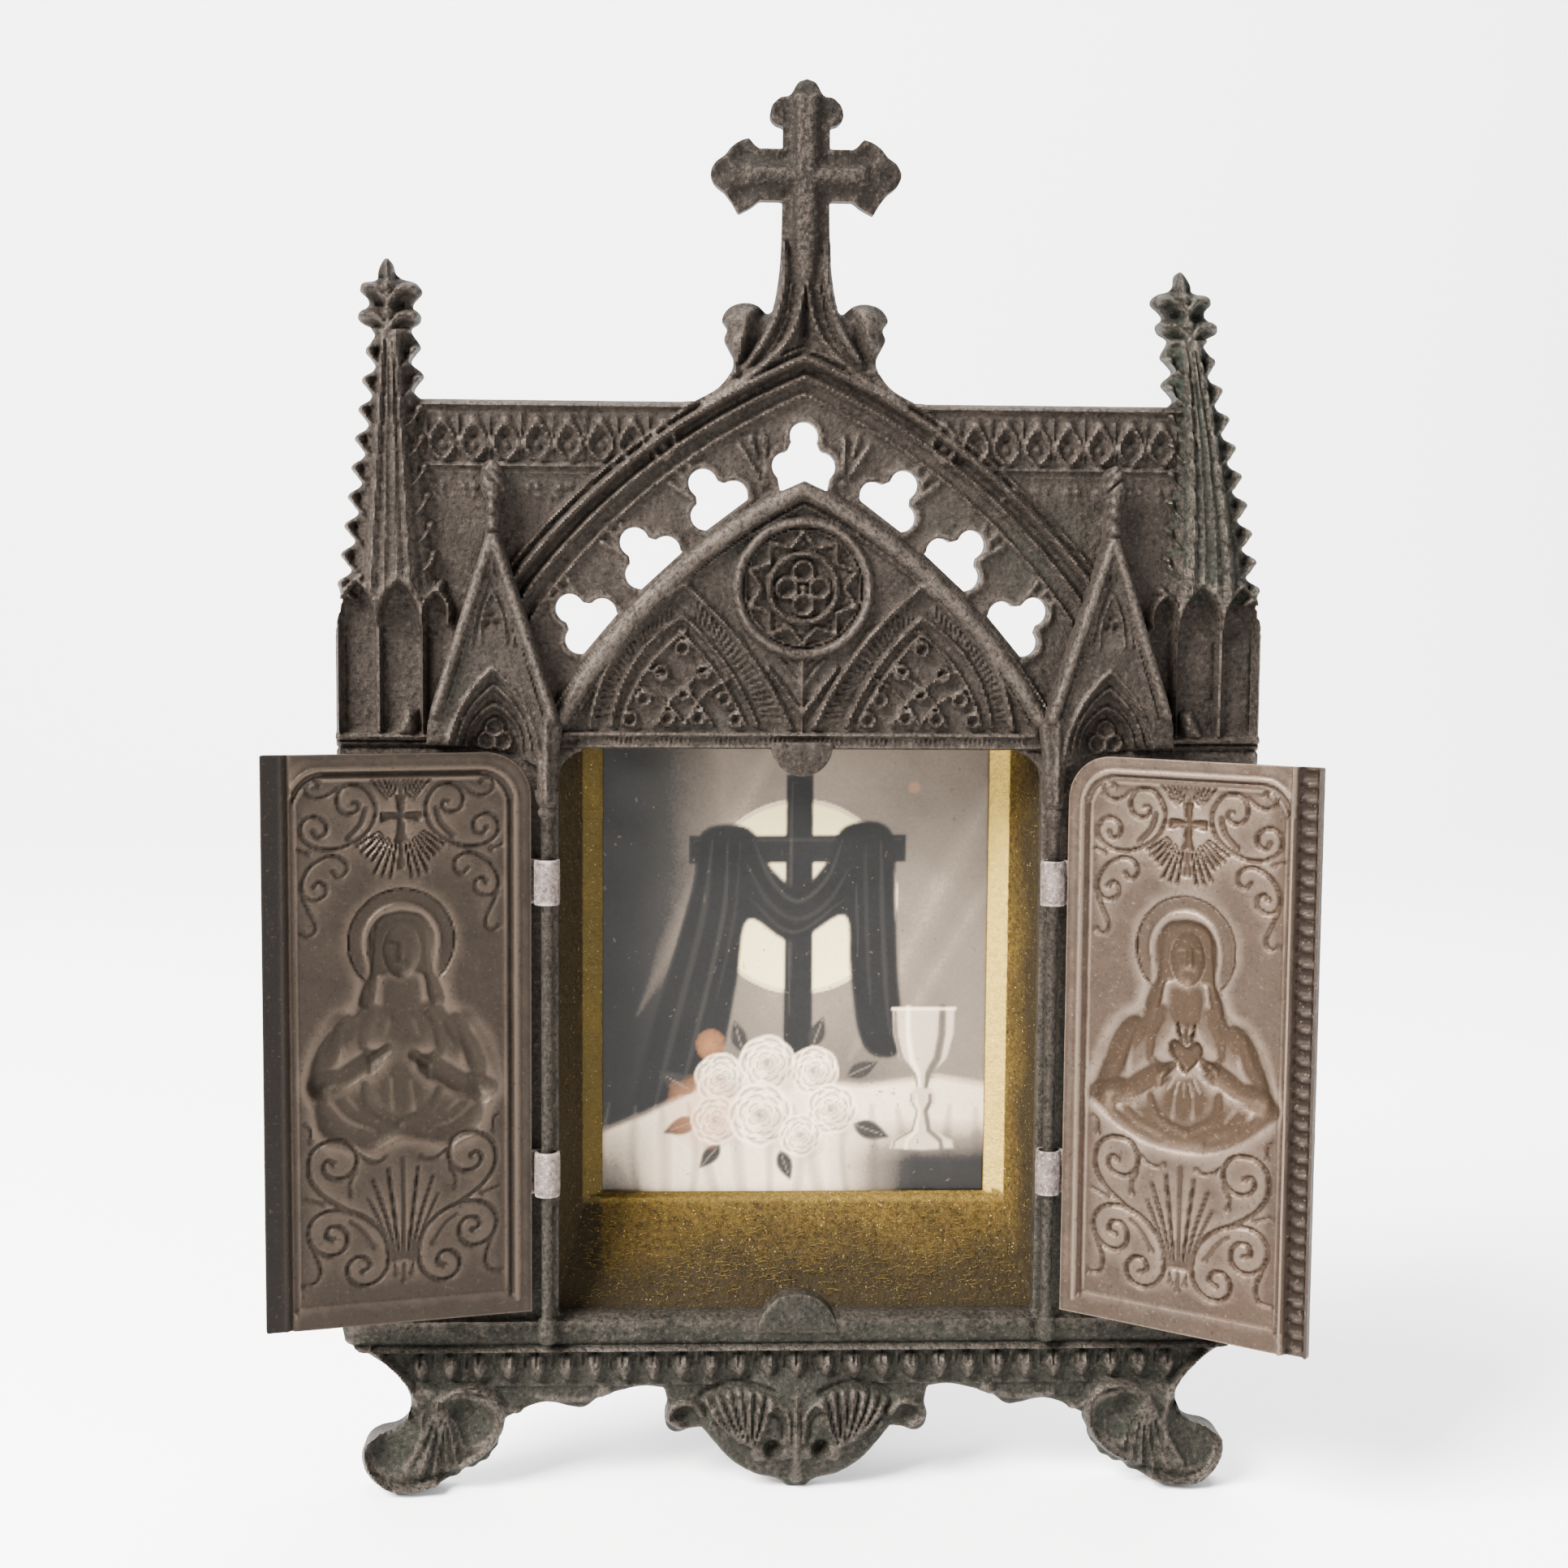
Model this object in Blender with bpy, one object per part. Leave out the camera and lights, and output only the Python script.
"""Folding travel altar: a small cast-metal Gothic shrine with two stamped doors.

The casting is one piece with its rods, feet and relief.  The doors hang on the
rods by wrapped sheet clips, and a shallow sheet case behind the arch holds a
gilt card lining and a picture card.  Metres, +Z up, front of the altar at -Y,
origin under the middle of the central foot.
"""
import math

import bmesh
import bpy
import numpy as np

MM = 0.001

# Driving dimensions, millimetres
HEIGHT = 120.0
CROSS_HEIGHT = 19.0
TOWER_HALF = 39.15
PLATE = 1.6
BASE_TOP = 15.4
NICHE_HALF = 20.6
NICHE_CORNER = 2.6
PARAPET_TOP = 93.45
PARAPET_HALF = 32.2
ARCH_APEX = 96.75
LUNETTE_APEX = 86.95
ROSE_Z = 78.0
GABLET_X = 25.85
GABLET_FORK = 81.8
GABLET_DEPTH = 2.6
SPIRE_FOOT = 77.5
SPIRE_HEIGHT = 27.4
CROCKET_PITCH = 2.4
BEND = 2.9
FRIEZE_PITCH = 2.63
DROP_PITCH = 2.49

ROD_X = 21.45
ROD_RADIUS = 0.5
ROD_PROUD = 1.4
ROD_TOP = 60.4
ROD_FOOT = 13.6
STOP_UPPER_RADIUS = 2.6
STOP_LOWER_RADIUS = 3.4
STOP_UPPER_LIFT = 0.55
STOP_LOWER_DROP = 1.45
CLIP_WALL = 0.3
CLIP_HEIGHT = 3.8
CLIP_LEAF = 3.6
CLIP_BELOW_HEAD = 11.0
CLIP_ABOVE_FOOT = 11.9
CLEARANCE = 0.3
CLIP_CLEARANCE = 0.3

DOOR_SHEET = 0.5
DOOR_NEAR = 1.35
DOOR_REACH = 23.5
DOOR_GAP = 0.9
DOOR_HEIGHT = 47.9
DOOR_CORNER = 3.8
DOOR_RELIEF = 0.25
DOOR_STRIP = 2.2
DOOR_MARGIN = 1.7
DOOR_JOGGLE = 0.5
LEFT_OPEN = 165.5
RIGHT_OPEN = 143.0

CASE_WALL = 0.5
CASE_DEPTH = 7.6
CASE_LIP = 1.4
CASE_SIDE = 1.6
LINING_WALL = 0.7
LINING_DEPTH = 6.2
MAT_STEP = 1.7
PICTURE_HALF = 17.1
PICTURE_FOOT = 24.0
CARD_THICK = 0.4
CARD_LAP = 1.2
PROP_WIDTH = 8.0
PROP_THICK = 0.9
PROP_TOP = 42.0
PROP_TAB = 6.0
PROP_REACH = 19.0
PROP_TOE = 4.0

FRONT = -PLATE / 2
BACK = PLATE / 2
ROD_Y = FRONT - ROD_PROUD
DOOR_FOOT = BASE_TOP + DOOR_GAP
NICHE_TOP = DOOR_FOOT + DOOR_HEIGHT

# Where the ground, the base's top and the doorway's head lie in the drawing of the carving, whose
# points are then stretched to the heights above
DRAWN_LEVELS = (0.0, 15.4, 64.2)


def clear_scene():
    """Empties the file that the script runs in."""
    for thing in list(bpy.data.objects):
        bpy.data.objects.remove(thing, do_unlink=True)


def material(name, colour, roughness, metallic):
    """A plain principled material in a sub-part's colour."""
    made = bpy.data.materials.new(name)
    made.use_nodes = True
    shader = made.node_tree.nodes["Principled BSDF"]
    shader.inputs["Base Color"].default_value = (*colour, 1.0)
    shader.inputs["Roughness"].default_value = roughness
    shader.inputs["Metallic"].default_value = metallic
    return made


def new_object(name, verts, faces, finish=None):
    """An object made from millimetre points (x, y, z) and faces, with its faces turned outwards."""
    mesh = bpy.data.meshes.new(name)
    mesh.from_pydata([tuple(MM * c for c in v) for v in verts], [], [tuple(f) for f in faces])
    sheet = bmesh.new()
    sheet.from_mesh(mesh)
    bmesh.ops.recalc_face_normals(sheet, faces=sheet.faces)
    sheet.to_mesh(mesh)
    sheet.free()
    if finish:
        mesh.materials.append(finish)
    made = bpy.data.objects.new(name, mesh)
    bpy.context.scene.collection.objects.link(made)
    return made


class Shells:
    """A pile of closed shells that one Boolean joins to, or cuts from, a sub-part."""

    def __init__(self):
        self.verts = []
        self.faces = []
        self.count = 0

    def add(self, verts, faces):
        start = len(self.verts)
        self.verts += [tuple(float(c) for c in v) for v in verts]
        self.faces += [tuple(start + i for i in f) for f in faces]
        self.count += 1

    def buried(self):
        """How deep the next shell starts inside its ground, a little different for each."""
        return 0.25 + 0.017 * (self.count % 13)

    def guide(self, name):
        made = new_object(name, self.verts, self.faces)
        made.hide_render = True
        made.display_type = "WIRE"
        return made


def combine(target, guide, operation):
    """Adds an exact Boolean of the guide's shells to the target."""
    step = target.modifiers.new(guide.name, "BOOLEAN")
    step.operation = operation
    step.solver = "EXACT"
    step.use_self = True
    step.object = guide


def risen(verts):
    """The casting's drawn points with each stage stretched to its real height: feet and base, doorway,
    and what stands over it."""
    drawn = (*DRAWN_LEVELS, cross_levels()[2])
    real = (0.0, BASE_TOP, NICHE_TOP, HEIGHT)
    return [(x, y, float(np.interp(z, drawn, real))) for x, y, z in verts]


def mirrored(points):
    """The other half of a half outline, in reverse order."""
    return [(-x, z) for x, z in reversed(points)]


def arc(cx, cz, radius, start, stop, count, squash=1.0):
    """Points on a circle's arc, angles in degrees from +X towards +Z."""
    angles = np.radians(np.linspace(start, stop, count))
    return [(cx + radius * math.cos(a), cz + squash * radius * math.sin(a)) for a in angles]


def circle(cx, cz, radius, count, turn=0.0):
    """A whole circle as a closed path."""
    return arc(cx, cz, radius, turn, turn + 360.0 * (count - 1) / count, count)


def bowed(start, stop, sagitta, count):
    """An arc from start to stop whose middle stands off the chord by the sagitta, to the left."""
    start = np.array(start, float)
    stop = np.array(stop, float)
    t = np.linspace(0.0, 1.0, count)[:, None]
    chord = stop - start
    normal = np.array([-chord[1], chord[0]]) / np.hypot(*chord)
    points = start + t * chord + 4.0 * sagitta * t * (1.0 - t) * normal
    return [tuple(p) for p in points]


def pointed(cx, half, foot, apex, sagitta, count):
    """A pointed arch as an open path, from the left foot over the apex to the right foot."""
    left = bowed((cx - half, foot), (cx, apex), sagitta, count)
    right = bowed((cx, apex), (cx + half, foot), sagitta, count)
    return left + right[1:]


def path_normals(path, closed):
    """Mitred sideways directions at each point of a flat path."""
    p = np.array(path, float)
    if closed:
        before = p - np.roll(p, 1, axis=0)
        after = np.roll(p, -1, axis=0) - p
    else:
        step = np.diff(p, axis=0)
        before = np.vstack([step[:1], step])
        after = np.vstack([step, step[-1:]])
    before = before / np.linalg.norm(before, axis=1)[:, None]
    after = after / np.linalg.norm(after, axis=1)[:, None]
    side_before = np.stack([-before[:, 1], before[:, 0]], axis=1)
    side_after = np.stack([-after[:, 1], after[:, 0]], axis=1)
    middle = side_before + side_after
    middle = middle / np.linalg.norm(middle, axis=1)[:, None]
    stretch = np.clip((middle * side_before).sum(axis=1), 0.45, 1.0)
    return middle / stretch[:, None]


def ridge(shells, path, width, ground, top, buried=None, crest=0.4, closed=False, taper=None):
    """A moulding: a trapezium carried along a path, from inside the ground out to the top level.

    ground and top are y values; the crest is the share of the width that stays flat on top,
    none for a sharp edge, and taper gives the width's share at each end of an open path.
    """
    sink = shells.buried() if buried is None else buried
    foot_y = ground + (sink if top < ground else -sink)
    side = path_normals(path, closed)
    p = np.array(path, float)
    share = np.ones(len(p))
    if taper is not None:
        share = np.linspace(taper[0], taper[1], len(p))
    half = 0.5 * width * share[:, None] * side
    profile = [(1.0, foot_y), (crest, top), (-crest, top), (-1.0, foot_y)]
    if crest == 0.0:
        profile.pop(2)
    rows = []
    for factor, y in profile:
        flat = p + factor * half
        rows.append(np.stack([flat[:, 0], np.full(len(p), y), flat[:, 1]], axis=1))
    verts = np.stack(rows, axis=1).reshape(-1, 3)
    sides = len(profile)
    count = len(p)
    last = count if closed else count - 1
    faces = []
    for i in range(last):
        j = (i + 1) % count
        for k in range(sides):
            m = (k + 1) % sides
            faces.append((sides * i + k, sides * j + k, sides * j + m, sides * i + m))
    if not closed:
        faces.append(tuple(reversed(range(sides))))
        faces.append(tuple(sides * (count - 1) + k for k in range(sides)))
    shells.add(verts, faces)


def boss(shells, outline, ground, top, shrink=0.6, buried=None, centre=None):
    """A raised island: an outline inside the ground, drawn in towards its centre at the top level."""
    sink = shells.buried() if buried is None else buried
    foot_y = ground + (sink if top < ground else -sink)
    p = np.array(outline, float)
    middle = p.mean(axis=0) if centre is None else np.array(centre, float)
    inner = middle + shrink * (p - middle)
    count = len(p)
    low = [(x, foot_y, z) for x, z in p]
    high = [(x, top, z) for x, z in inner]
    faces = [(i, (i + 1) % count, count + (i + 1) % count, count + i) for i in range(count)]
    faces.append(tuple(reversed(range(count))))
    faces.append(tuple(range(count, 2 * count)))
    shells.add(low + high, faces)


def block(shells, outline, front, back):
    """A straight-sided slab with the outline, between two y levels."""
    boss(shells, outline, back, front, shrink=1.0, buried=0.0)


def plate_mesh(loops, front, back):
    """Points and faces of a flat slab with an outer loop and holes, between two y levels."""
    sheet = bmesh.new()
    edges = []
    for loop in loops:
        ring = [sheet.verts.new((x, front, z)) for x, z in loop]
        for i, vert in enumerate(ring):
            edges.append(sheet.edges.new((vert, ring[(i + 1) % len(ring)])))
    bmesh.ops.triangle_fill(sheet, use_beauty=True, use_dissolve=False, edges=edges)
    grown = bmesh.ops.extrude_face_region(sheet, geom=sheet.faces[:])
    moved = [g for g in grown["geom"] if isinstance(g, bmesh.types.BMVert)]
    bmesh.ops.translate(sheet, verts=moved, vec=(0.0, back - front, 0.0))
    sheet.verts.index_update()
    verts = [tuple(v.co) for v in sheet.verts]
    faces = [tuple(v.index for v in f.verts) for f in sheet.faces]
    sheet.free()
    return verts, faces


# The casting's outline

def cross_levels():
    """Drawn heights of the cross: its foot in the notch above the leaf, its arms' middle, its top."""
    foot = leaf_half()[-1][1] + 0.1
    return foot, foot + CROSS_HEIGHT - 7.7, foot + CROSS_HEIGHT


def cross_half():
    """Right half of the trefoil-ended cross, from the notch above the leaf to the top."""
    foot, arm_z, top = cross_levels()
    stem = 2.0
    points = [(2.75, foot), (2.3, foot + 1.9), (2.05, foot + 4.8), (stem, arm_z - 2.1)]
    points += [(3.95, arm_z - 2.1), (4.5, arm_z - 2.75), (5.6, arm_z - 3.15), (6.4, arm_z - 2.6)]
    points += [(6.85, arm_z - 1.75), (7.6, arm_z - 1.05), (7.95, arm_z), (7.45, arm_z + 1.05)]
    points += [(6.55, arm_z + 1.65), (5.9, arm_z + 2.4), (5.15, arm_z + 2.75), (4.4, arm_z + 2.55)]
    points += [(3.95, arm_z + 2.0), (stem, arm_z + 2.0), (stem, arm_z + 3.9), (2.5, arm_z + 4.2)]
    points += [(3.0, arm_z + 4.75), (2.8, arm_z + 5.6), (2.3, arm_z + 6.1), (1.45, arm_z + 6.55)]
    points += [(0.85, arm_z + 7.4), (0.0, top)]
    return points


def leaf_half():
    """Right half of the curled leaf beside the cross's stem, from the parapet up."""
    points = [(9.2, 93.4), (7.35, 94.5), (6.25, 95.8), (6.0, 96.9), (6.25, 97.8), (6.5, 98.5)]
    points += [(6.45, 99.4), (6.9, 100.3), (6.2, 101.25), (5.2, 101.6), (4.1, 101.5), (3.2, 100.9)]
    return points


def pendant_half():
    """Right half of the central foot, from its flat tip to the base's lower edge."""
    points = [(0.9, 0.0), (1.2, 0.45), (2.0, 0.95), (3.7, 1.35), (5.6, 2.5), (7.0, 4.0)]
    points += [(8.1, 5.25), (9.3, 5.2), (10.3, 4.8), (11.1, 5.2), (11.4, 6.3), (11.45, 8.8)]
    return points


def foot_half():
    """Right side foot with its scalloped shell, from the base's lower edge round to the tower."""
    points = [(15.4, 8.55), (17.1, 8.0), (18.3, 7.2), (19.6, 7.2), (21.3, 7.6), (22.9, 7.35)]
    points += [(24.1, 6.75), (25.3, 6.2), (25.7, 4.6), (26.2, 3.3), (27.2, 2.45), (28.5, 1.85)]
    points += [(29.6, 1.05), (30.9, 0.5), (32.2, 0.4), (33.1, 0.0), (35.0, 0.0), (36.3, 0.65)]
    points += [(37.2, 1.8), (37.5, 3.2), (37.1, 4.45), (36.1, 5.2), (34.5, 5.6), (33.55, 6.5)]
    points += [(33.3, 7.8), (33.6, 8.9), (34.2, 9.95), (35.3, 10.9), (37.4, 12.3), (38.9, 13.1)]
    return points


def outline():
    """The casting's whole outline, anticlockwise from the tip of the central foot."""
    base = DRAWN_LEVELS[1]
    right = pendant_half() + foot_half()
    right += [(TOWER_HALF, base - 1.0), (TOWER_HALF, 73.8), (TOWER_HALF - 0.9, 77.4)]
    right += [(33.4, 78.6), (PARAPET_HALF, PARAPET_TOP - 1.2), (PARAPET_HALF, PARAPET_TOP)]
    right += leaf_half() + cross_half()
    return right + mirrored(right)[1:]


def trefoil(cx, cz, turn, lift):
    """A pierced trefoil over the middle of its foot: side lobes, an outer lobe, all turned together.

    lift raises the lobes, for the tall middle opening whose foot rides over the lunette's apex.
    """
    points = arc(0.0, 3.35 + lift, 1.22, -20.0, 200.0, 6)
    points += arc(-1.45, 1.0 + 0.8 * lift, 1.15, 105.0, 215.0, 4)
    if lift > 0.0:
        points += [(-1.95, -0.35), (0.0, 0.55), (1.95, -0.35)]
    else:
        points += [(-2.55, 0.0), (2.55, 0.0)]
    points += arc(1.45, 1.0 + 0.8 * lift, 1.15, -35.0, 75.0, 4)
    angle = math.radians(turn)
    return [(cx + x * math.cos(angle) - z * math.sin(angle),
             cz + x * math.sin(angle) + z * math.cos(angle)) for x, z in points]


# Places of the openings' feet: across, up, turn, lift of the lobes
TREFOILS = ((0.0, 86.35, 0.0, 1.0), (6.45, 84.05, -37.0, 0.0), (11.95, 79.3, -42.5, 0.0),
            (17.05, 74.0, -50.0, 0.0))


def trefoil_loops():
    """All seven openings, each mirrored to both sides of the middle one."""
    loops = []
    for cx, cz, turn, lift in TREFOILS:
        signs = (1,) if cx == 0.0 else (1, -1)
        for sign in signs:
            loops.append(trefoil(sign * cx, cz, sign * turn, lift))
    return loops


def niche():
    """The doorway: a rectangle with rounded upper corners."""
    base, head = DRAWN_LEVELS[1:]
    right = arc(NICHE_HALF - NICHE_CORNER, head - NICHE_CORNER, NICHE_CORNER, 0.0, 90.0, 6)
    return [(NICHE_HALF, base)] + right + mirrored(right) + [(-NICHE_HALF, base)]


# The casting's relief

def both(shells, make, points, *args, **kwargs):
    """Makes the same relief on the right and, mirrored, on the left."""
    make(shells, points, *args, **kwargs)
    make(shells, mirrored(points), *args, **kwargs)


def cross_relief(shells):
    """The narrower raised cross on the face of the cross, and its ogee foot."""
    foot, arm_z, summit = cross_levels()
    bar = 1.1
    arm = 5.4
    top = FRONT - 0.7
    raised = [(bar, foot + 1.7), (bar, arm_z - bar), (arm, arm_z - bar), (arm, arm_z + bar)]
    raised += [(bar, arm_z + bar), (bar, summit - 1.5)]
    boss(shells, raised + mirrored(raised), FRONT, top, shrink=0.93, centre=(0.0, arm_z))
    inner = [(0.15, 103.0), (0.95, 99.7), (2.4, 97.6), (5.2, 95.6)]
    outer = [(1.9, 105.0), (2.1, 102.6), (3.1, 99.4), (5.1, 96.6), (8.8, 93.7)]
    both(shells, ridge, inner, 0.8, FRONT, FRONT - 0.9, taper=(0.8, 1.2))
    both(shells, ridge, outer, 0.9, FRONT, FRONT - 0.6)
    petal = [(3.6, 100.3), (4.5, 101.2), (5.8, 101.0), (6.4, 100.2), (6.05, 98.9), (5.7, 97.2)]
    petal += [(5.4, 97.6), (5.2, 99.2), (4.4, 99.6)]
    both(shells, boss, petal, FRONT, FRONT - 1.1, shrink=0.7)


def arch_relief(shells):
    """The great arch's two mouldings and the lunette's border."""
    outer = bowed((24.2, 77.6), (0.0, ARCH_APEX), -2.1, 6)
    outer = outer + mirrored(outer)[1:]
    ridge(shells, outer, 1.5, FRONT, FRONT - 1.25, crest=0.35)
    inner = bowed((23.4, 76.6), (0.0, ARCH_APEX - 1.8), -2.1, 6)
    inner = inner + mirrored(inner)[1:]
    ridge(shells, inner, 0.8, FRONT, FRONT - 0.85, crest=0.3)
    border = bowed((20.1, 67.9), (0.0, LUNETTE_APEX - 0.95), -2.0, 7)
    border = border + mirrored(border)[1:]
    ridge(shells, border, 1.5, FRONT, FRONT - 1.15, crest=0.45)


def rose_relief(shells):
    """The rose: two rings, a zigzag star between them and four small rings inside."""
    ridge(shells, circle(0.0, ROSE_Z, 5.45, 16), 0.95, FRONT, FRONT - 0.95, closed=True)
    ridge(shells, circle(0.0, ROSE_Z, 2.85, 12), 0.6, FRONT, FRONT - 0.75, closed=True, buried=0.4)
    star = []
    for i in range(20):
        angle = math.radians(90.0 + 18.0 * i)
        reach = 4.5 if i % 2 == 0 else 3.55
        star.append((reach * math.cos(angle), ROSE_Z + reach * math.sin(angle)))
    ridge(shells, star, 0.4, FRONT, FRONT - 0.5, closed=True, buried=0.5, crest=0.0)
    for i in range(4):
        angle = math.radians(90.0 * i)
        place = (1.35 * math.cos(angle), ROSE_Z + 1.35 * math.sin(angle))
        ridge(shells, circle(*place, 0.72, 6), 0.35, FRONT, FRONT - 0.42 - 0.02 * i, closed=True, crest=0.0)


def tracery_relief(shells):
    """Two sub-arches beside the rose with small arches inside, and the chevron between them."""
    outer = [(17.6, 66.4), (16.2, 70.0), (13.4, 74.2), (10.2, 77.8), (7.9, 75.5), (5.7, 72.6)]
    outer += [(3.2, 69.0), (1.2, 65.9)]
    both(shells, ridge, outer, 0.6, FRONT, FRONT - 0.6)
    inner = [(15.9, 66.4), (14.6, 70.0), (12.6, 73.0), (10.3, 75.3), (8.5, 73.4), (6.4, 70.5)]
    inner += [(4.4, 66.4)]
    both(shells, ridge, inner, 0.45, FRONT, FRONT - 0.5, crest=0.0)
    both(shells, ridge, pointed(12.9, 2.5, 66.5, 70.6, 0.5, 3), 0.4, FRONT, FRONT - 0.46, crest=0.0)
    both(shells, ridge, pointed(7.4, 2.5, 66.5, 70.6, 0.5, 3), 0.4, FRONT, FRONT - 0.44, crest=0.0)
    both(shells, ridge, pointed(10.2, 2.1, 68.2, 73.4, 0.5, 3), 0.4, FRONT, FRONT - 0.42, crest=0.0)
    ridge(shells, [(-2.7, 70.4), (0.0, 67.2), (2.7, 70.4)], 0.5, FRONT, FRONT - 0.55, crest=0.0)
    ridge(shells, [(-19.4, 65.35), (19.4, 65.35)], 0.5, FRONT, FRONT - 0.35, crest=0.0)


def parapet_relief(shells):
    """The frieze: two border lines with a row of loops between them."""
    both(shells, ridge, [(31.4, 88.05), (15.2, 88.05)], 0.4, FRONT, FRONT - 0.4)
    both(shells, ridge, [(32.0, 93.05), (9.9, 93.05)], 0.5, FRONT, FRONT - 0.45)
    for i in range(7):
        loop = circle(30.2 - FRIEZE_PITCH * i, 89.8, 0.92, 6, turn=90.0)
        both(shells, ridge, loop, 0.42, FRONT, FRONT - 0.5, closed=True, crest=0.0)


def gablet_relief(shells):
    """The two gablets: a deep gable with a pointed arch cut through it, its mouldings and finial."""
    x = GABLET_X
    front = FRONT - GABLET_DEPTH
    foot = ROD_TOP - 0.6
    clear = DRAWN_LEVELS[2] + 0.5
    arch = [(30.0, clear), (29.4, 66.2), (27.9, 68.7), (x, 70.4), (23.9, 68.7), (22.5, 66.2)]
    arch += [(22.0, 63.0), (22.1, foot)]
    gable = [(20.8, foot), (20.55, 63.5), (20.3, 67.2), (x, GABLET_FORK + 0.4), (30.7, 67.6)]
    gable.append((31.3, clear))
    both(shells, block, gable + arch, front, FRONT + 0.31)
    middle = [(30.4, clear), (29.7, 66.4), (28.2, 69.0), (x, 70.9), (23.5, 69.0), (22.1, 66.4)]
    middle.append((21.6, foot + 2.4))
    inset = [(22.7, foot + 2.6), (23.3, 65.6), (24.3, 67.4), (x, 68.9), (27.4, 67.4), (28.5, 65.6)]
    inset.append((28.8, clear))
    both(shells, block, middle + inset, front + 0.9, FRONT + 0.35)
    innermost = pointed(x, 2.3, clear, 67.6, 0.4, 3)
    both(shells, ridge, innermost, 0.5, FRONT, FRONT - 0.9)
    both(shells, ridge, circle(x, 64.9, 0.75, 6), 0.45, FRONT, FRONT - 0.8, closed=True, crest=0.0)
    for low in ((20.7, 67.7), (30.5, 67.9)):
        both(shells, ridge, [low, (x, GABLET_FORK + 0.2)], 0.95, front, front - 0.75, taper=(1.0, 0.75))
    both(shells, ridge, circle(x, 75.2, 0.8, 6), 0.45, front, front - 0.35, closed=True, crest=0.0)
    both(shells, ridge, pointed(x, 2.9, 67.4, 71.7, 0.7, 3), 0.55, front, front - 0.5, crest=0.0)
    stem = [(x - 0.45, GABLET_FORK - 1.0), (x + 0.45, GABLET_FORK - 1.0), (x + 0.5, 85.2), (x - 0.5, 85.2)]
    both(shells, block, stem, front - 0.2, FRONT + 0.29)
    knob = [(x - 0.5, 84.8), (x + 0.5, 84.8), (x + 1.05, 86.2), (x + 0.85, 87.6), (x + 0.2, 88.3)]
    knob += [(x - 0.5, 88.1), (x - 0.95, 87.2), (x - 0.95, 85.9)]
    both(shells, boss, knob, FRONT, front - 0.6, shrink=0.65)
    both(shells, boss, circle(19.95, 66.2, 1.05, 7), FRONT, FRONT - 1.9, shrink=0.6)


def capital_relief(shells):
    """Where the hinge rods meet the casting: a capital above and a block on the base below."""
    half = 0.85
    proud = ROD_Y - ROD_RADIUS - 0.15
    top = [(ROD_X - half, ROD_TOP - 1.3), (ROD_X + half, ROD_TOP - 1.3)]
    top += [(ROD_X + half + 0.15, ROD_TOP + 0.6), (ROD_X - half - 0.15, ROD_TOP + 0.6)]
    both(shells, block, top, proud, FRONT + 0.27)
    low = [(ROD_X - half, ROD_FOOT - 0.4), (ROD_X + half, ROD_FOOT - 0.4)]
    base = DRAWN_LEVELS[1]
    low += [(ROD_X + half, base - 0.3), (ROD_X - half, base - 0.3)]
    both(shells, block, low, ROD_Y + 0.1, FRONT + 0.27)


def rods(shells):
    """The two hinge rods, cast with the frame and standing proud of it."""
    sides = 8
    for sign in (1, -1):
        ring = circle(sign * ROD_X, ROD_Y, ROD_RADIUS, sides, turn=22.5)
        verts = [(x, y, ROD_FOOT) for x, y in ring] + [(x, y, ROD_TOP) for x, y in ring]
        faces = [(i, (i + 1) % sides, sides + (i + 1) % sides, sides + i) for i in range(sides)]
        faces += [tuple(reversed(range(sides))), tuple(range(sides, 2 * sides))]
        shells.add(verts, faces)


def tower_relief(shells):
    """The towers' lower stage: two gabled lancets each, a string course and a foot band."""
    for cx, half in ((37.45, 1.45), (34.1, 1.4)):
        frame = [(cx + half, 65.9), (cx + half, 73.2), (cx, 77.3), (cx - half, 73.2), (cx - half, 65.9)]
        both(shells, ridge, frame, 0.55, FRONT, FRONT - 0.9 - 0.05 * half)
        sill = [(cx + half - 0.2, 74.3), (cx - half + 0.2, 74.3)]
        both(shells, ridge, sill, 0.35, FRONT, FRONT - 0.4, crest=0.0)
    both(shells, ridge, [(39.0, 65.2), (32.3, 65.2)], 0.6, FRONT, FRONT - 0.6)
    both(shells, ridge, [(38.75, 64.5), (38.75, 17.0)], 0.5, FRONT, FRONT - 0.3)
    both(shells, boss, [(34.2, 65.5), (33.0, 65.5), (33.4, 67.6)], FRONT, FRONT - 0.9, shrink=0.6)


def spire_bend(z, bend):
    """How far a bent pinnacle leans inwards and backwards at a height."""
    lift = max(0.0, (z - SPIRE_FOOT) / SPIRE_HEIGHT)
    return -bend * lift ** 1.7, 0.5 * bend * lift ** 2.2


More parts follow.
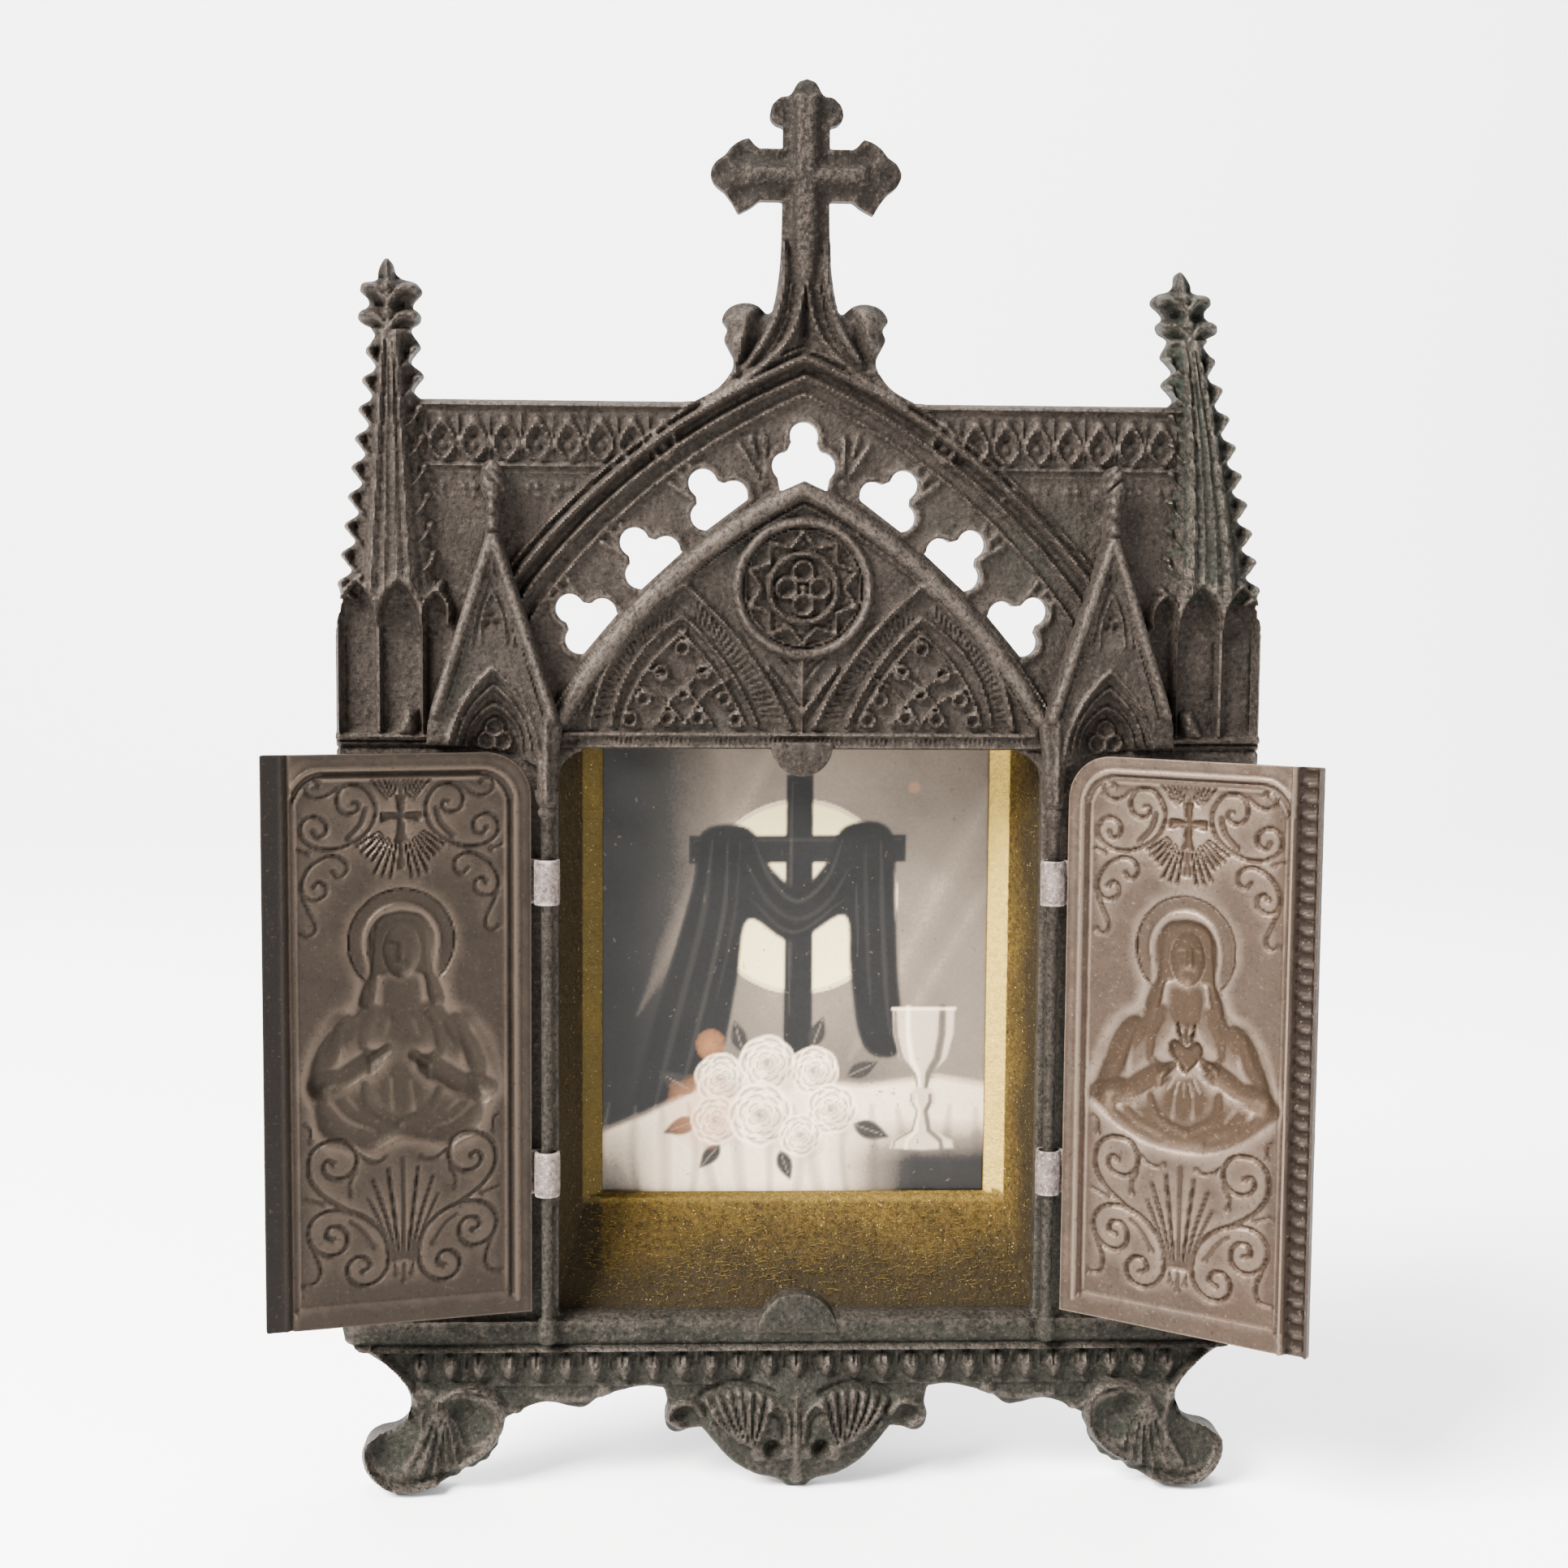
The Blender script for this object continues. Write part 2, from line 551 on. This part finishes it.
def pinnacle(shells, side, bend):
    """A spire with hooked crockets down both edges, a half-octagon rib and a leafy finial."""
    outer = []
    for i in range(9):
        z = 97.4 - CROCKET_PITCH * i
        edge = 35.8 + 0.128 * (97.0 - z)
        outer += [(edge + 0.5, z), (edge + 0.08, z - 1.75)]
    outer = outer[:-1] + [(38.15, 77.2)]
    inner = []
    for i in range(8):
        z = 97.9 - CROCKET_PITCH * i
        edge = 32.75 - 0.095 * (98.0 - z)
        inner += [(edge - 0.5, z), (edge - 0.05, z - 1.7)]
    inner = inner + [(30.6, 76.8)]
    finial = [(36.0, 98.9), (36.9, 99.9), (36.6, 101.0), (36.85, 102.3), (35.75, 103.1), (35.3, 104.2)]
    finial += [(34.75, 104.9), (34.15, 104.4), (33.35, 103.2), (31.9, 102.3), (32.35, 101.4), (32.0, 100.3)]
    finial += [(32.85, 98.9)]
    loop = outer[::-1] + finial + inner
    verts, faces = plate_mesh([loop], FRONT - 0.35, BACK - 0.23)
    place_spire(shells, verts, faces, side, bend)
    low = ((37.3, -0.1), (35.9, -1.25), (33.2, -1.25), (31.5, -0.1), (31.5, 0.95), (37.3, 0.95))
    high = ((35.2, -0.1), (34.75, -0.85), (34.15, -0.85), (33.6, -0.1), (33.6, 0.95), (35.2, 0.95))
    rows = 5
    verts = []
    for r in range(rows + 1):
        t = r / rows
        for a, b in zip(low, high):
            y = FRONT - 0.2 + a[1] + t * (b[1] - a[1])
            verts.append((a[0] + t * (b[0] - a[0]), y, 77.9 + t * 20.8))
    faces = []
    for r in range(rows):
        for k in range(6):
            m = (k + 1) % 6
            faces.append((6 * r + k, 6 * r + m, 6 * r + 6 + m, 6 * r + 6 + k))
    faces += [(0, 1, 2, 3, 4, 5), tuple(6 * rows + k for k in (5, 4, 3, 2, 1, 0))]
    place_spire(shells, verts, faces, side, bend)
    for z, reach in ((100.4, 1.9), (102.1, 1.4)):
        bud = [(34.45 + reach, z), (34.45, z + 0.9), (34.45 - reach, z), (34.45, z - 0.9)]
        middle = [(34.45 + 0.5 * (x - 34.45), z + 0.5 * (h - z)) for x, h in bud]
        verts = [(x, FRONT, h) for x, h in bud] + [(x, FRONT - 1.15, h) for x, h in middle]
        faces = [(i, (i + 1) % 4, 4 + (i + 1) % 4, 4 + i) for i in range(4)]
        faces += [(3, 2, 1, 0), (4, 5, 6, 7)]
        place_spire(shells, verts, faces, side, bend)


def place_spire(shells, verts, faces, side, bend):
    """Bends a spire's shell and sets it on its side of the altar."""
    moved = []
    for x, y, z in verts:
        across, back = spire_bend(z, bend)
        moved.append((side * (x + across), y + back, z))
    if side < 0:
        faces = [tuple(reversed(f)) for f in faces]
    shells.add(moved, faces)


def base_relief(shells):
    """The base: a plain band, a fillet and a row of drops below it."""
    band = [(38.4, 12.9), (38.4, DRAWN_LEVELS[1] - 0.25)]
    block(shells, band + mirrored(band), FRONT - 0.45, FRONT + 0.33)
    ridge(shells, [(37.7, 12.45), (-37.7, 12.45)], 0.75, FRONT, FRONT - 0.95)
    for i in range(-13, 14):
        x = DROP_PITCH * i
        drop = [(x - 0.5, 11.8), (x + 0.5, 11.8), (x + 0.62, 10.7), (x, 9.75), (x - 0.62, 10.7)]
        boss(shells, drop, FRONT, FRONT - 0.8, shrink=0.5, centre=(x, 10.9))


def foot_relief(shells):
    """The side feet's shells: flutes fanning from a scroll, over a toe that reaches forward."""
    toe = [(31.0, 0.62), (33.1, 0.0), (35.0, 0.0), (36.2, 0.75), (37.0, 1.9), (37.1, 3.4), (35.6, 4.7)]
    toe += [(33.0, 4.2), (31.2, 2.6)]
    for sign in (1, -1):
        loop = toe if sign == 1 else mirrored(toe)
        low = [(x, FRONT + 0.29, z) for x, z in loop]
        front = [(x, FRONT - 1.7, z) for x, z in loop]
        middle = np.mean(np.array(loop), axis=0) + np.array((0.0, 0.6))
        nose = [(middle[0] + 0.6 * (x - middle[0]), FRONT - 2.5, middle[1] + 0.6 * (z - middle[1]))
                for x, z in loop]
        count = len(loop)
        faces = []
        for ring in (0, count):
            for i in range(count):
                j = (i + 1) % count
                faces.append((ring + i, ring + j, ring + count + j, ring + count + i))
        faces += [tuple(reversed(range(count))), tuple(range(2 * count, 3 * count))]
        shells.add(low + front + nose, faces)
    hub = (29.6, 7.7)
    tips = ((35.6, 5.0), (30.4, 1.7), (28.4, 2.7), (26.6, 4.2))
    for i, tip in enumerate(tips):
        bend = (0.5 * (hub[0] + tip[0]) + 0.3, 0.5 * (hub[1] + tip[1]) + 0.5)
        both(shells, ridge, [hub, bend, tip], 1.1, FRONT, FRONT - 0.8 - 0.06 * i, taper=(0.5, 1.25))
    both(shells, ridge, arc(27.9, 6.3, 0.95, -60.0, 200.0, 6), 0.55, FRONT, FRONT - 1.2)


def pendant_relief(shells):
    """The central foot: an acanthus with two fans of ribs, two scroll eyes and a forward tip."""
    body = [(0.9, 0.0), (3.3, 1.45), (5.6, 3.3), (5.9, 5.2), (3.4, 7.2)]
    loop = body + mirrored(body)
    low = [(x, FRONT + 0.29, z) for x, z in loop]
    front = [(x, FRONT - 1.1, z) for x, z in loop]
    nose = [(0.65 * x, FRONT - 1.9, 3.8 + 0.65 * (z - 3.8)) for x, z in loop]
    count = len(loop)
    faces = []
    for ring in (0, count):
        for i in range(count):
            j = (i + 1) % count
            faces.append((ring + i, ring + j, ring + count + j, ring + count + i))
    faces += [tuple(reversed(range(count))), tuple(range(2 * count, 3 * count))]
    shells.add(low + front + nose, faces)
    both(shells, ridge, circle(1.95, 3.1, 0.8, 7), 0.5, FRONT - 1.8, FRONT - 2.35, closed=True)
    for i in range(4):
        angle = math.radians(60.0 + 32.0 * i)
        tip = (4.6 + 3.4 * math.cos(angle), 4.6 + 3.5 * math.sin(angle))
        both(shells, ridge, [(4.6, 4.4), tip], 0.75, FRONT, FRONT - 1.5 - 0.05 * i, taper=(0.6, 1.1))
    both(shells, ridge, arc(9.7, 6.6, 0.95, -200.0, 60.0, 6), 0.5, FRONT, FRONT - 0.8)


def lug_relief(shells):
    """The half-round stops above and below the doorway that the closed doors rest on."""
    stop = ROD_Y + 0.35
    base, head = DRAWN_LEVELS[1:]
    top = head + STOP_UPPER_LIFT
    upper = arc(0.0, top, STOP_UPPER_RADIUS, 180.0, 360.0, 9)
    upper += [(STOP_UPPER_RADIUS, top + 0.25), (-STOP_UPPER_RADIUS, top + 0.25)]
    lower = arc(0.0, base - STOP_LOWER_DROP, STOP_LOWER_RADIUS, 0.0, 180.0, 9)
    block(shells, upper, stop, FRONT + 1.1)
    block(shells, lower, stop, FRONT + 1.1)


def facade(finish):
    """The whole casting: a pierced plate with every relief joined to it."""
    loops = [outline(), niche()] + trefoil_loops()
    verts, faces = plate_mesh(loops, FRONT, BACK)
    made = new_object("facade", risen(verts), faces, finish)
    shells = Shells()
    for step in (arch_relief, rose_relief, tracery_relief, parapet_relief, tower_relief, base_relief,
                 gablet_relief, capital_relief, rods, foot_relief, pendant_relief, lug_relief, cross_relief):
        step(shells)
    pinnacle(shells, -1, 0.0)
    pinnacle(shells, 1, BEND)
    shells.verts = risen(shells.verts)
    combine(made, shells.guide("facade_relief"), "UNION")
    return made


# The doors, drawn closed: x runs from the hinge axis to the free edge, the outer face is at -y

def door_outline():
    """A plain leaf with the hinge side's upper corner rounded."""
    top = DOOR_FOOT + DOOR_HEIGHT
    corner = arc(DOOR_NEAR + DOOR_CORNER, top - DOOR_CORNER, DOOR_CORNER, 180.0, 90.0, 7)
    return [(DOOR_REACH, DOOR_FOOT), (DOOR_REACH, top)] + corner[::-1] + [(DOOR_NEAR, DOOR_FOOT)]


def spiral(cx, cz, radius, start, turns, count, stem):
    """A scroll: a stem point, then a spiral that winds in to its eye."""
    t = np.linspace(0.0, 1.0, count)
    angle = np.radians(start) + 2.0 * math.pi * turns * t
    reach = radius * (1.0 - 0.72 * t)
    winding = [(cx + r * math.cos(a), cz + r * math.sin(a)) for r, a in zip(reach, angle)]
    return [stem] + winding


def door_reliefs(with_heart):
    """The stamped pattern as a list of (maker, points, size, height share, options)."""
    foot = DOOR_FOOT
    top = DOOR_FOOT + DOOR_HEIGHT
    base, head = DRAWN_LEVELS[1:]
    rise = DOOR_HEIGHT / (head - base - DOOR_GAP)
    near = DOOR_NEAR + DOOR_MARGIN
    far = DOOR_REACH - DOOR_STRIP - 0.25
    middle = 0.5 * (near + far)
    radius = DOOR_CORNER - DOOR_MARGIN
    corner = arc(near + radius, top - 1.1 - radius, radius, 90.0, 180.0, 4)
    border = [(far, foot + 1.1), (far, top - 1.1)] + corner + [(near, foot + 1.1)]
    halo = foot + 32.4 * rise
    parts = [("ridge", border, 0.55, 0.8, {"closed": True})]
    parts.append(("ridge", circle(middle, halo, 3.9, 12), 0.5, 0.8, {"closed": True}))
    side = [(7.2, 18.6), (5.6, 23.6), (3.0, 27.0), (1.3, 29.2)]
    hem = [(-7.2, 18.6), (-4.6, 16.0), (0.0, 15.0), (4.6, 16.0)]
    robe = [(middle + x, foot + z * rise) for x, z in hem + side + mirrored(side)[:-1]]
    parts.append(("boss", robe, 0.8, 1.2, {}))
    head = arc(middle, halo + 0.1, 2.3, 0.0, 315.0, 8, squash=1.2)
    parts.append(("boss", head, 0.7, 1.3, {}))
    tall = 2.7
    arm = 1.7
    bar = 0.45
    cz = foot + 42.6 * rise
    upright = [(bar, cz - tall), (bar, cz - bar), (arm, cz - bar), (arm, cz + bar), (bar, cz + bar)]
    upright += [(bar, cz + 1.7)]
    crosslet = [(middle + x, z) for x, z in upright + mirrored(upright)]
    parts.append(("boss", crosslet, 0.9, 1.0, {}))
    if with_heart:
        low = foot + 20.4 * rise
        heart = [(middle, low), (middle + 1.2, low + 1.8), (middle, low + 3.2), (middle - 1.2, low + 1.8)]
        parts.append(("boss", heart, 0.7, 1.8, {}))
    for sign in (1, -1):
        upper = spiral(0.0, 0.0, 1.9, -60.0, 1.1, 8, (2.6, -4.2))
        lower = spiral(0.0, 0.0, 2.0, -110.0, 1.1, 8, (-4.6, -5.6))
        over = [(middle + sign * (6.3 - x), foot + (41.2 + z) * rise) for x, z in upper]
        curl = [(middle + sign * (5.9 + x), foot + (10.0 + z) * rise) for x, z in lower]
        parts.append(("ridge", over, 0.45, 0.8, {"taper": (0.6, 1.0)}))
        parts.append(("ridge", curl, 0.45, 0.8, {"taper": (0.6, 1.0)}))
    for i in range(-1, 2):
        stem = [(middle + 0.1 * i, foot + 3.2 * rise), (middle + 2.4 * i, foot + 12.2 * rise)]
        parts.append(("ridge", stem, 0.45, 0.7, {"taper": (0.5, 1.2)}))
    return parts


def door(name, side, opened, with_heart, finish):
    """One stamped leaf: sheet with the pattern raised outside and sunk inside, turned open."""
    inner = 0.0
    outer = -DOOR_SHEET
    verts, faces = plate_mesh([door_outline()], outer, inner)
    raised = Shells()
    sunk = Shells()
    for kind, points, size, share, options in door_reliefs(with_heart):
        height = DOOR_RELIEF * share
        if kind == "ridge":
            ridge(raised, points, size, outer, outer - height, buried=0.07, crest=0.0, **options)
            ridge(sunk, points, size * 0.9, inner, inner - 0.7 * height, buried=0.2, crest=0.0, **options)
        else:
            boss(raised, points, outer, outer - height, shrink=size, buried=0.08)
            boss(sunk, points, inner, inner - 0.7 * height, shrink=size * 0.95, buried=0.21)
    if with_heart:
        strip = DOOR_REACH - DOOR_STRIP
        foot = DOOR_FOOT
        top = DOOR_FOOT + DOOR_HEIGHT
        bead = [(strip + 0.2, foot + 0.02), (DOOR_REACH - 0.02, foot + 0.02)]
        bead += [(DOOR_REACH - 0.02, top - 0.02), (strip + 0.2, top - 0.02)]
        boss(raised, bead, outer, outer - DOOR_JOGGLE, shrink=0.97, buried=0.1)
    verts = [(-side * x, y, z) for x, y, z in verts]
    made = new_object(name, verts, faces, finish)
    for shells in (raised, sunk):
        shells.verts = [(-side * x, y, z) for x, y, z in shells.verts]
    outside = raised.guide(name + "_raised")
    inside = sunk.guide(name + "_sunk")
    combine(made, outside, "UNION")
    combine(made, inside, "DIFFERENCE")
    pivot = bpy.data.objects.new(name + "_pivot", None)
    bpy.context.scene.collection.objects.link(pivot)
    pivot.location = (side * ROD_X * MM, ROD_Y * MM, 0.0)
    pivot.rotation_euler = (0.0, 0.0, math.radians(side * opened))
    for thing in (made, outside, inside):
        thing.parent = pivot
    return pivot


def clip(name, side, centre, pivot, finish):
    """A sheet clip: one loop round the rod whose tail lies on the door's outer face."""
    inner = ROD_RADIUS + CLIP_CLEARANCE
    outer = inner + CLIP_WALL
    profile = [(CLIP_LEAF, -inner)] + arc(0.0, 0.0, inner, 270.0, -15.0, 9)
    profile += arc(0.0, 0.0, outer, -15.0, 270.0, 9) + [(CLIP_LEAF, -outer)]
    low = centre - CLIP_HEIGHT / 2
    count = len(profile)
    verts = [(-side * x, y, z) for z in (low, low + CLIP_HEIGHT) for x, y in profile]
    faces = [(i, (i + 1) % count, count + (i + 1) % count, count + i) for i in range(count)]
    faces += [tuple(reversed(range(count))), tuple(range(count, 2 * count))]
    made = new_object(name, verts, faces, finish)
    made.parent = pivot
    return made


# Behind the doorway

def case_box():
    """The case's inner width and height limits."""
    half = NICHE_HALF + CASE_SIDE
    return half, BASE_TOP - CASE_SIDE, NICHE_TOP + CASE_SIDE


def open_box(name, half, low, high, front, back, wall, lip, finish):
    """A sheet-metal tray open to the front, with a narrow flange round its mouth."""
    def rectangle(grow):
        return [(-half - grow, low - grow), (half + grow, low - grow), (half + grow, high + grow),
                (-half - grow, high + grow)]

    rings = []
    for grow, y in ((0.0, front), (lip, front), (lip, front + wall), (wall, front + wall),
                    (wall, back), (0.0, back - wall)):
        rings.append([(x, y, z) for x, z in rectangle(grow)])
    verts = [p for ring in rings for p in ring]
    faces = []
    for r in range(len(rings) - 1):
        if r == 4:
            continue
        for k in range(4):
            m = (k + 1) % 4
            faces.append((4 * r + k, 4 * r + m, 4 * r + 4 + m, 4 * r + 4 + k))
    faces.append((16, 17, 18, 19))
    faces.append((23, 22, 21, 20))
    for k in range(4):
        m = (k + 1) % 4
        faces.append((20 + k, 20 + m, m, k))
    return new_object(name, verts, faces, finish)


def back_case(finish):
    """The shallow case soldered behind the doorway."""
    half, low, high = case_box()
    front = BACK + CLEARANCE
    return open_box("back_case", half, low, high, front, front + CASE_DEPTH, CASE_WALL, CASE_LIP, finish)


def gilt_lining(finish):
    """The card lining: walls that splay in from the doorway to a flat mat round the picture."""
    half, low, high = case_box()
    front = BACK + CLEARANCE
    mid = front + LINING_DEPTH - 0.7
    back = front + LINING_DEPTH
    edge_half = half - CLEARANCE
    edge_low = low + CLEARANCE
    edge_high = high - CLEARANCE
    mat_half = PICTURE_HALF + MAT_STEP
    mat_low = PICTURE_FOOT - 0.4
    mat_high = NICHE_TOP + 0.4
    window_top = NICHE_TOP - 0.2
    inner = ((edge_half - LINING_WALL, edge_low + LINING_WALL, edge_high - LINING_WALL, front),
             (mat_half, mat_low, mat_high, mid), (PICTURE_HALF, PICTURE_FOOT, window_top, back - 0.25))
    outer = ((PICTURE_HALF, PICTURE_FOOT, window_top, back),
             (mat_half + 0.3, mat_low - 0.3, mat_high + 0.3, back),
             (edge_half, edge_low, edge_high, front + 0.8), (edge_half, edge_low, edge_high, front))
    verts = []
    for wide, foot, top, y in inner + outer:
        verts += [(-wide, y, foot), (wide, y, foot), (wide, y, top), (-wide, y, top)]
    rings = len(inner + outer)
    faces = []
    for r in range(rings):
        s = (r + 1) % rings
        for k in range(4):
            m = (k + 1) % 4
            faces.append((4 * r + k, 4 * r + m, 4 * s + m, 4 * s + k))
    return new_object("gilt_lining", verts, faces, finish)


def picture_card(finish):
    """The card behind the mat's window."""
    front = BACK + CLEARANCE + LINING_DEPTH + CLEARANCE
    half = PICTURE_HALF + CARD_LAP
    card = [(-half, PICTURE_FOOT - CARD_LAP), (half, PICTURE_FOOT - CARD_LAP)]
    card += [(half, NICHE_TOP + 0.9), (-half, NICHE_TOP + 0.9)]
    verts, faces = plate_mesh([card], front, front + CARD_THICK)
    return new_object("picture_card", verts, faces, finish)


def rear_prop(finish):
    """The plain strip strut behind: down the case's back, out to the ground and a short toe."""
    top_y = BACK + CLEARANCE + CASE_DEPTH + CLEARANCE
    tab_z = PROP_TOP - PROP_TAB
    toe_y = top_y + PROP_REACH
    profile = [(top_y, PROP_TOP), (top_y, tab_z), (toe_y, 0.0), (toe_y + PROP_TOE, 0.0)]
    profile += [(toe_y + PROP_TOE, PROP_THICK), (toe_y + PROP_THICK / 2, PROP_THICK)]
    profile += [(top_y + PROP_THICK, tab_z + 0.2), (top_y + PROP_THICK, PROP_TOP)]
    half = PROP_WIDTH / 2
    count = len(profile)
    verts = [(x, y, z) for x in (-half, half) for y, z in profile]
    faces = [(i, (i + 1) % count, count + (i + 1) % count, count + i) for i in range(count)]
    faces += [tuple(reversed(range(count))), tuple(range(count, 2 * count))]
    return new_object("rear_prop", verts, faces, finish)


def build():
    """Makes every sub-part in its place."""
    clear_scene()
    casting = material("cast_metal", (0.09, 0.075, 0.065), 0.5, 0.85)
    stamped_dark = material("stamped_left", (0.13, 0.10, 0.085), 0.5, 0.8)
    stamped_light = material("stamped_right", (0.24, 0.18, 0.15), 0.45, 0.8)
    silver = material("clip_sheet", (0.5, 0.48, 0.5), 0.4, 0.9)
    tin = material("case_sheet", (0.16, 0.15, 0.13), 0.55, 0.7)
    gilt = material("gilt_card", (0.45, 0.34, 0.08), 0.7, 0.2)
    paper = material("picture_paper", (0.4, 0.37, 0.33), 0.35, 0.0)
    facade(casting)
    left = door("door_left", -1, LEFT_OPEN, False, stamped_dark)
    right = door("door_right", 1, RIGHT_OPEN, True, stamped_light)
    upper_clip = DOOR_FOOT + DOOR_HEIGHT - CLIP_BELOW_HEAD
    lower_clip = DOOR_FOOT + CLIP_ABOVE_FOOT
    for level, centre in (("upper", upper_clip), ("lower", lower_clip)):
        clip("hinge_clip_left_" + level, -1, centre, left, silver)
        clip("hinge_clip_right_" + level, 1, centre, right, silver)
    back_case(tin)
    gilt_lining(gilt)
    picture_card(paper)
    rear_prop(tin)


build()
